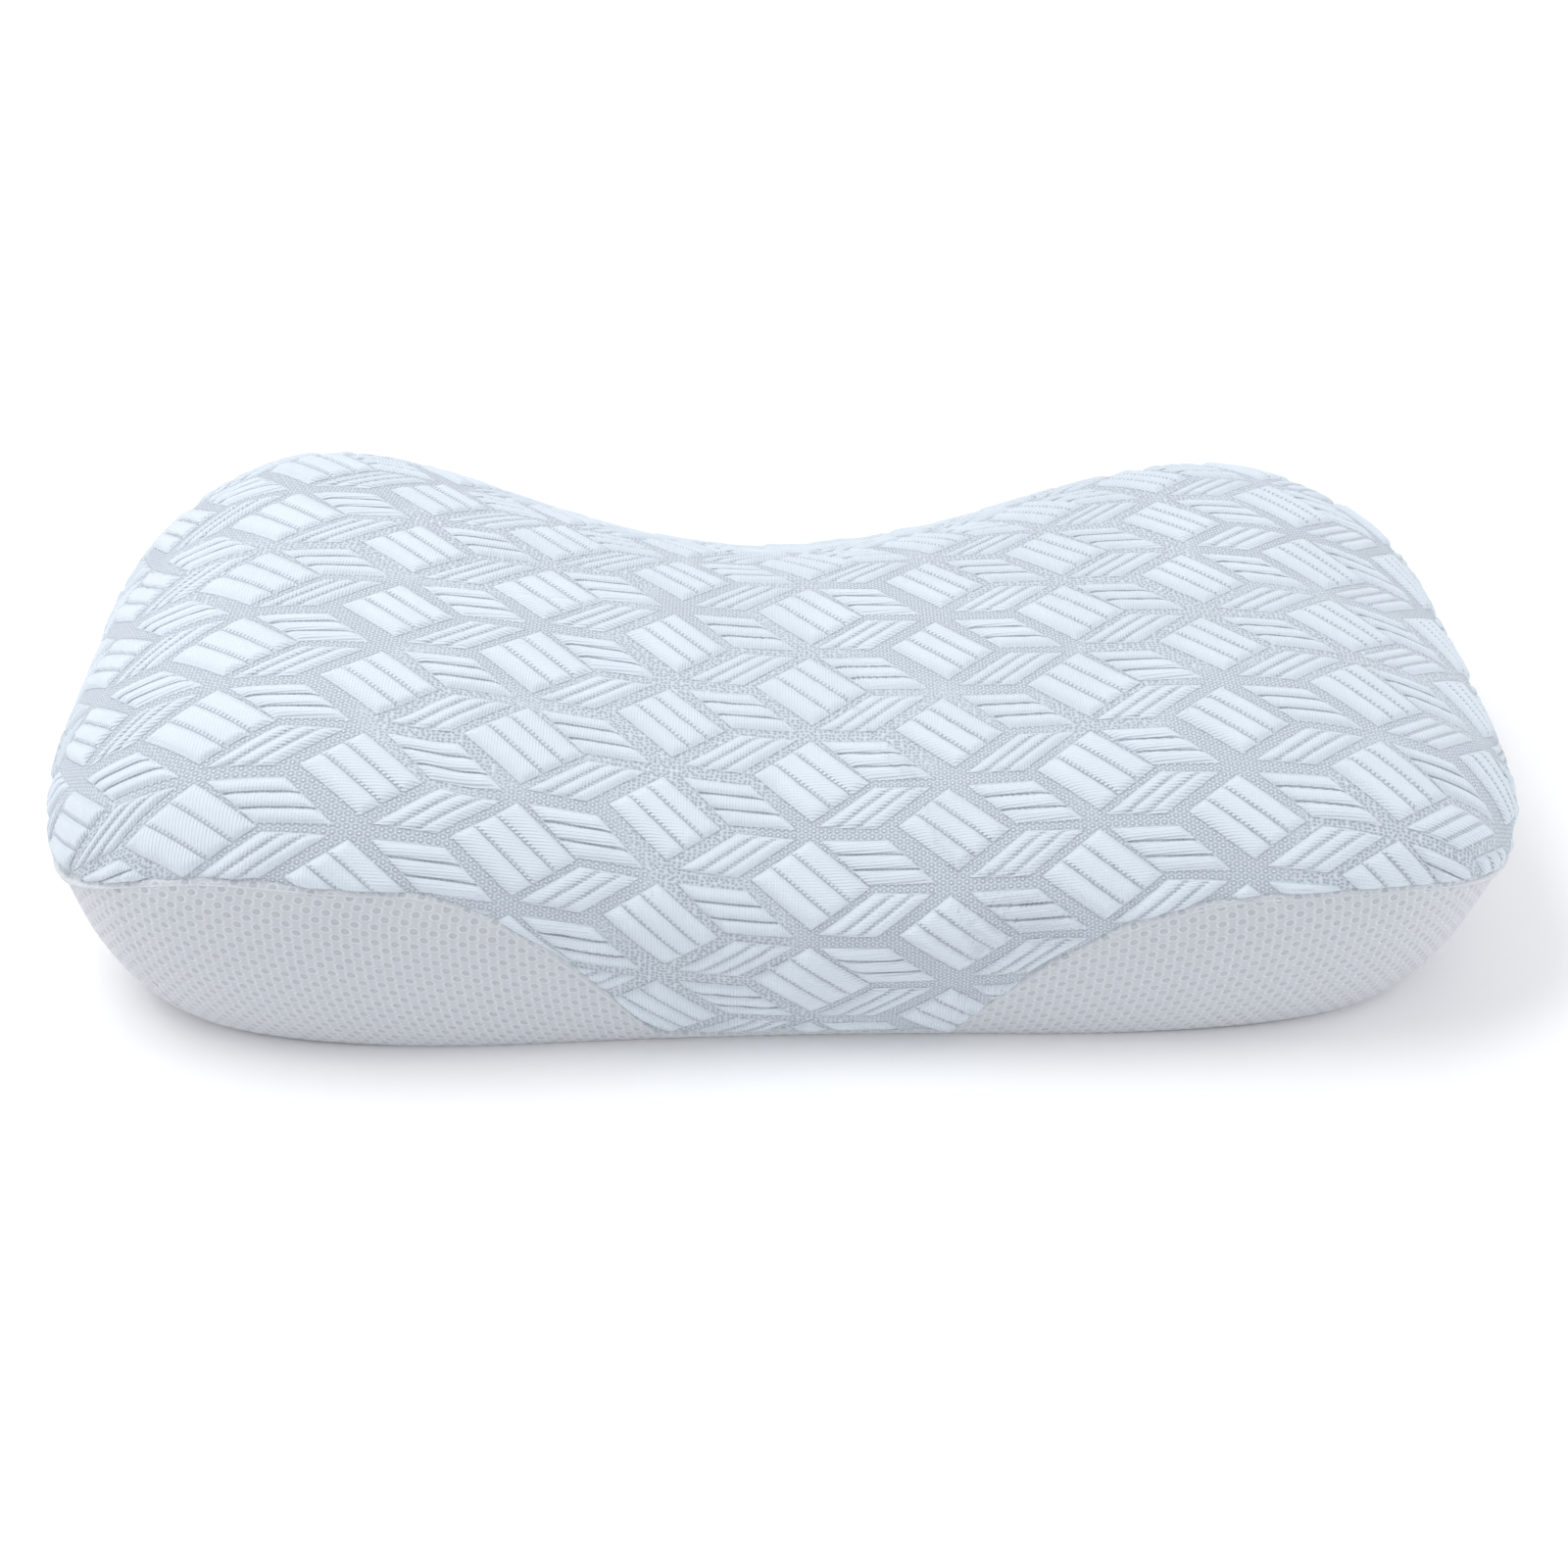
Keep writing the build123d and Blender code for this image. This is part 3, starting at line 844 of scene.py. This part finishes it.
def mesh_material():
    """Knitted spacer mesh with staggered oval holes, on the holes of the geometry, with
    painted shade in the holes and a painted highlight on their rims.
    """
    m = Material("spacer_mesh", 0.84, sheen=0.3)
    u, v, _ = m.uv(100)
    hr = v / HOLE_ROW
    stagger = (hr * 0.5).fract().over(0.5) * 0.5
    hu = u / HOLE_PITCH + stagger
    cu = (hu.fract() - 0.5) * (HOLE_PITCH / HOLE_HALF_U)
    cv = (hr.fract() - 0.5) * (HOLE_ROW / HOLE_HALF_V)
    ring = (cu * cu + cv * cv).sqrt()
    hole = 1 - ring.step(0.55, 1.1)
    lip = 1 - abs(ring - 1.35).step(0.1, 0.6)
    knit = (u * 5.2).sin() * (v * 5.2).sin() * 0.5 + 0.5
    mottle = m.noise(22, 3)
    fine = m.noise(1200, 2)
    tone = mottle * 0.35 + knit * 0.25 + fine * 0.4
    body = m.blend(tone, (0.475, 0.495, 0.53), (0.555, 0.575, 0.61))
    # painted highlight: the rims round the holes are coloured lighter, standing in for light
    # catching them
    body_with_painted_rim_highlight = m.blend(lip * 0.4, body, (0.70, 0.715, 0.745))
    # painted shade: the holes are coloured darker, standing in for the shade inside them
    m.colour(m.blend(hole * 0.42, body_with_painted_rim_highlight, (0.39, 0.405, 0.44)))
    m.roughness(hole * 0.1 + 0.8)
    m.bump(lip * 0.2 - hole * 0.5 + knit * 0.08, 0.7, 0.7)
    return m.made


def woven_material(name, low, high, pitch=0.9, rough=0.85):
    m = Material(name, rough, sheen=0.2)
    x, y, z = m.place(1000 / pitch)
    weave = (x * math.pi).sin() * (z * math.pi).sin() * 0.5 + 0.5
    cloud = m.noise(30, 3)
    m.colour(m.blend(weave * 0.6 + cloud * 0.4, low, high))
    m.roughness(weave * 0.1 + rough - 0.05)
    m.bump(weave, 0.2, 0.8)
    return m.made


def grain_material(name, low, high, scale, rough, metal=0.0, depth=0.1):
    m = Material(name, rough, metal)
    grain = m.noise(scale, 4)
    m.colour(m.blend(grain, low, high))
    m.roughness(grain * 0.18 + rough - 0.09)
    m.bump(grain, depth, 0.6)
    return m.made


def wear(obj, material):
    """Gives a piece its material."""
    obj.data.materials.clear()
    obj.data.materials.append(material)


quilt_mat = quilt_material()
mesh_mat = mesh_material()
tape_mat = woven_material("zip_tape", (0.60, 0.61, 0.63), (0.78, 0.79, 0.81))
hem_mat = woven_material("hem_binding", (0.68, 0.69, 0.71), (0.84, 0.85, 0.87), 1.2)
binding_mat = woven_material("binding", (0.52, 0.54, 0.57), (0.66, 0.68, 0.71), 0.8)
thread_mat = woven_material("thread", (0.66, 0.67, 0.70), (0.86, 0.87, 0.90), 0.5)
coil_mat = grain_material("zip_coil", (0.70, 0.71, 0.73), (0.82, 0.83, 0.85), 300, 0.42)
stop_mat = grain_material("zip_metal", (0.55, 0.55, 0.56), (0.7, 0.7, 0.71), 500, 0.34, 1.0)
slider_mat = grain_material(
    "slider_metal", (0.66, 0.67, 0.69), (0.76, 0.77, 0.79), 350, 0.38, 0.6
)
foam_mat = grain_material("foam", (0.74, 0.70, 0.60), (0.86, 0.83, 0.75), 260, 0.95, 0.0, 0.8)
liner_mat = woven_material("liner_knit", (0.78, 0.78, 0.78), (0.88, 0.88, 0.88), 1.4)

quilt = build_quilt()
wear(quilt, quilt_mat)
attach(quilt, "pillow")
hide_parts("top_panel")

cover = build_mesh_cover()
wear(cover, mesh_mat)
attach(cover, "pillow")
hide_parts("mesh_underside")

binding = build_binding()
wear(binding, binding_mat)
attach(binding, "pillow")

POCKET_Y = TAPE_Y - 3.85
liner = build_filling("liner_sock", 3.4, POCKET_Y, 2.4)
wear(liner, liner_mat)
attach(liner, "pillow")
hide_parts("inner_liner")
foam = build_filling("foam_block", 4.6, POCKET_Y - 1.1, 3.5)
wear(foam, foam_mat)
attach(foam, "pillow")
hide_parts("foam_core")

hem_half, hem_rise = SLOT_HALF + HEM_OUT[0], SLOT_RISE + HEM_OUT[1]
hem_path = rounded_rectangle(hem_half, hem_rise, 2.5, TRAY_Y - 0.2)
hem = tube_object("zip_hem", hem_path, 2.3, 10, closed=True, flat=0.42)
wear(hem, hem_mat)
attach(hem, "pillow")

for name, side in (("coil_upper", 1), ("coil_lower", -1)):
    coil = build_coil(name, side)
    wear(coil, coil_mat)
    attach(coil, "pillow")
    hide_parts("zip_" + name)

hem_rows = [
    (-SLOT_HALF, SLOT_HALF, TRAY_Y + 0.78, ZIP_Z + up * hem_rise) for up in (-1, 1)
]
stitches = build_stitches("hem_stitches", hem_rows)
wear(stitches, thread_mat)
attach(stitches, "pillow")

for node in ("zip_tape_upper", "zip_tape_lower"):
    wear(nodes[node], tape_mat)
for node in ("zip_top_stop_upper", "zip_top_stop_lower", "zip_bottom_stop"):
    wear(nodes[node], stop_mat)
for node in ("zip_slider_body", "zip_pull_tab"):
    wear(nodes[node], slider_mat)

# ------------------------------------------------------------------ floor, light, camera
def add_floor():
    bpy.ops.mesh.primitive_plane_add(size=30, location=(0, 0, 0))
    floor = bpy.context.object
    floor.name = "floor"
    m = Material("floor_paint", 0.7)
    cloud = m.noise(3, 2)
    m.colour(m.blend(cloud, (0.90, 0.90, 0.905), (0.93, 0.93, 0.935)))
    m.bump(m.noise(220, 2), 0.1, 0.3)
    floor.data.materials.append(m.made)


def add_light(name, position, size, power, target=(0, 0, 0.05)):
    data = bpy.data.lights.new(name, "AREA")
    data.shape = "DISK"
    data.size, data.energy = size, power
    light = bpy.data.objects.new(name, data)
    light.location = position
    aim = Vector(target) - Vector(position)
    light.rotation_mode = "QUATERNION"
    light.rotation_quaternion = aim.to_track_quat("-Z", "Y")
    bpy.context.scene.collection.objects.link(light)


add_floor()
add_light("key", (-0.9, 0.15, 1.9), 1.3, 20.5)
add_light("fill", (1.5, -1.5, 0.9), 1.8, 6.5)
add_light("front", (0.7, -2.1, 0.5), 1.8, 4)
add_light("left", (-1.9, -0.2, 0.8), 1.4, 9)
add_light("right", (1.9, 0.0, 0.9), 1.4, 8.5)
add_light("back", (0.3, 1.8, 1.2), 1.6, 9)

world = bpy.data.worlds.new("studio")
world.use_nodes = True
world.node_tree.nodes["Background"].inputs[0].default_value = (0.95, 0.97, 1.0, 1)
world.node_tree.nodes["Background"].inputs[1].default_value = 0.66
bpy.context.scene.world = world

ELEVATION, AZIMUTH, ROLL = math.radians(36.46), math.radians(-1.43), math.radians(-0.18)
DISTANCE, FOCUS = 1.431, Vector((0.0003, -0.0476, 0.060))
LENS, SENSOR = 77.63, 36.0         # mm
camera = bpy.data.objects.new("camera", bpy.data.cameras.new("camera"))
camera.data.lens, camera.data.sensor_width = LENS, SENSOR
camera.data.clip_start, camera.data.clip_end = 0.05, 60
ahead = Vector((
    -math.sin(AZIMUTH) * math.cos(ELEVATION),
    math.cos(AZIMUTH) * math.cos(ELEVATION),
    -math.sin(ELEVATION),
))
right = Vector((math.cos(AZIMUTH), math.sin(AZIMUTH), 0))
up = right.cross(ahead)
right_r = right * math.cos(ROLL) + up * math.sin(ROLL)
up_r = up * math.cos(ROLL) - right * math.sin(ROLL)
turn = Matrix((right_r, up_r, -ahead)).transposed()
camera.matrix_world = Matrix.Translation(FOCUS - ahead * DISTANCE) @ turn.to_4x4()
bpy.context.scene.collection.objects.link(camera)
bpy.context.scene.camera = camera
bpy.context.scene.view_settings.view_transform = "Standard"
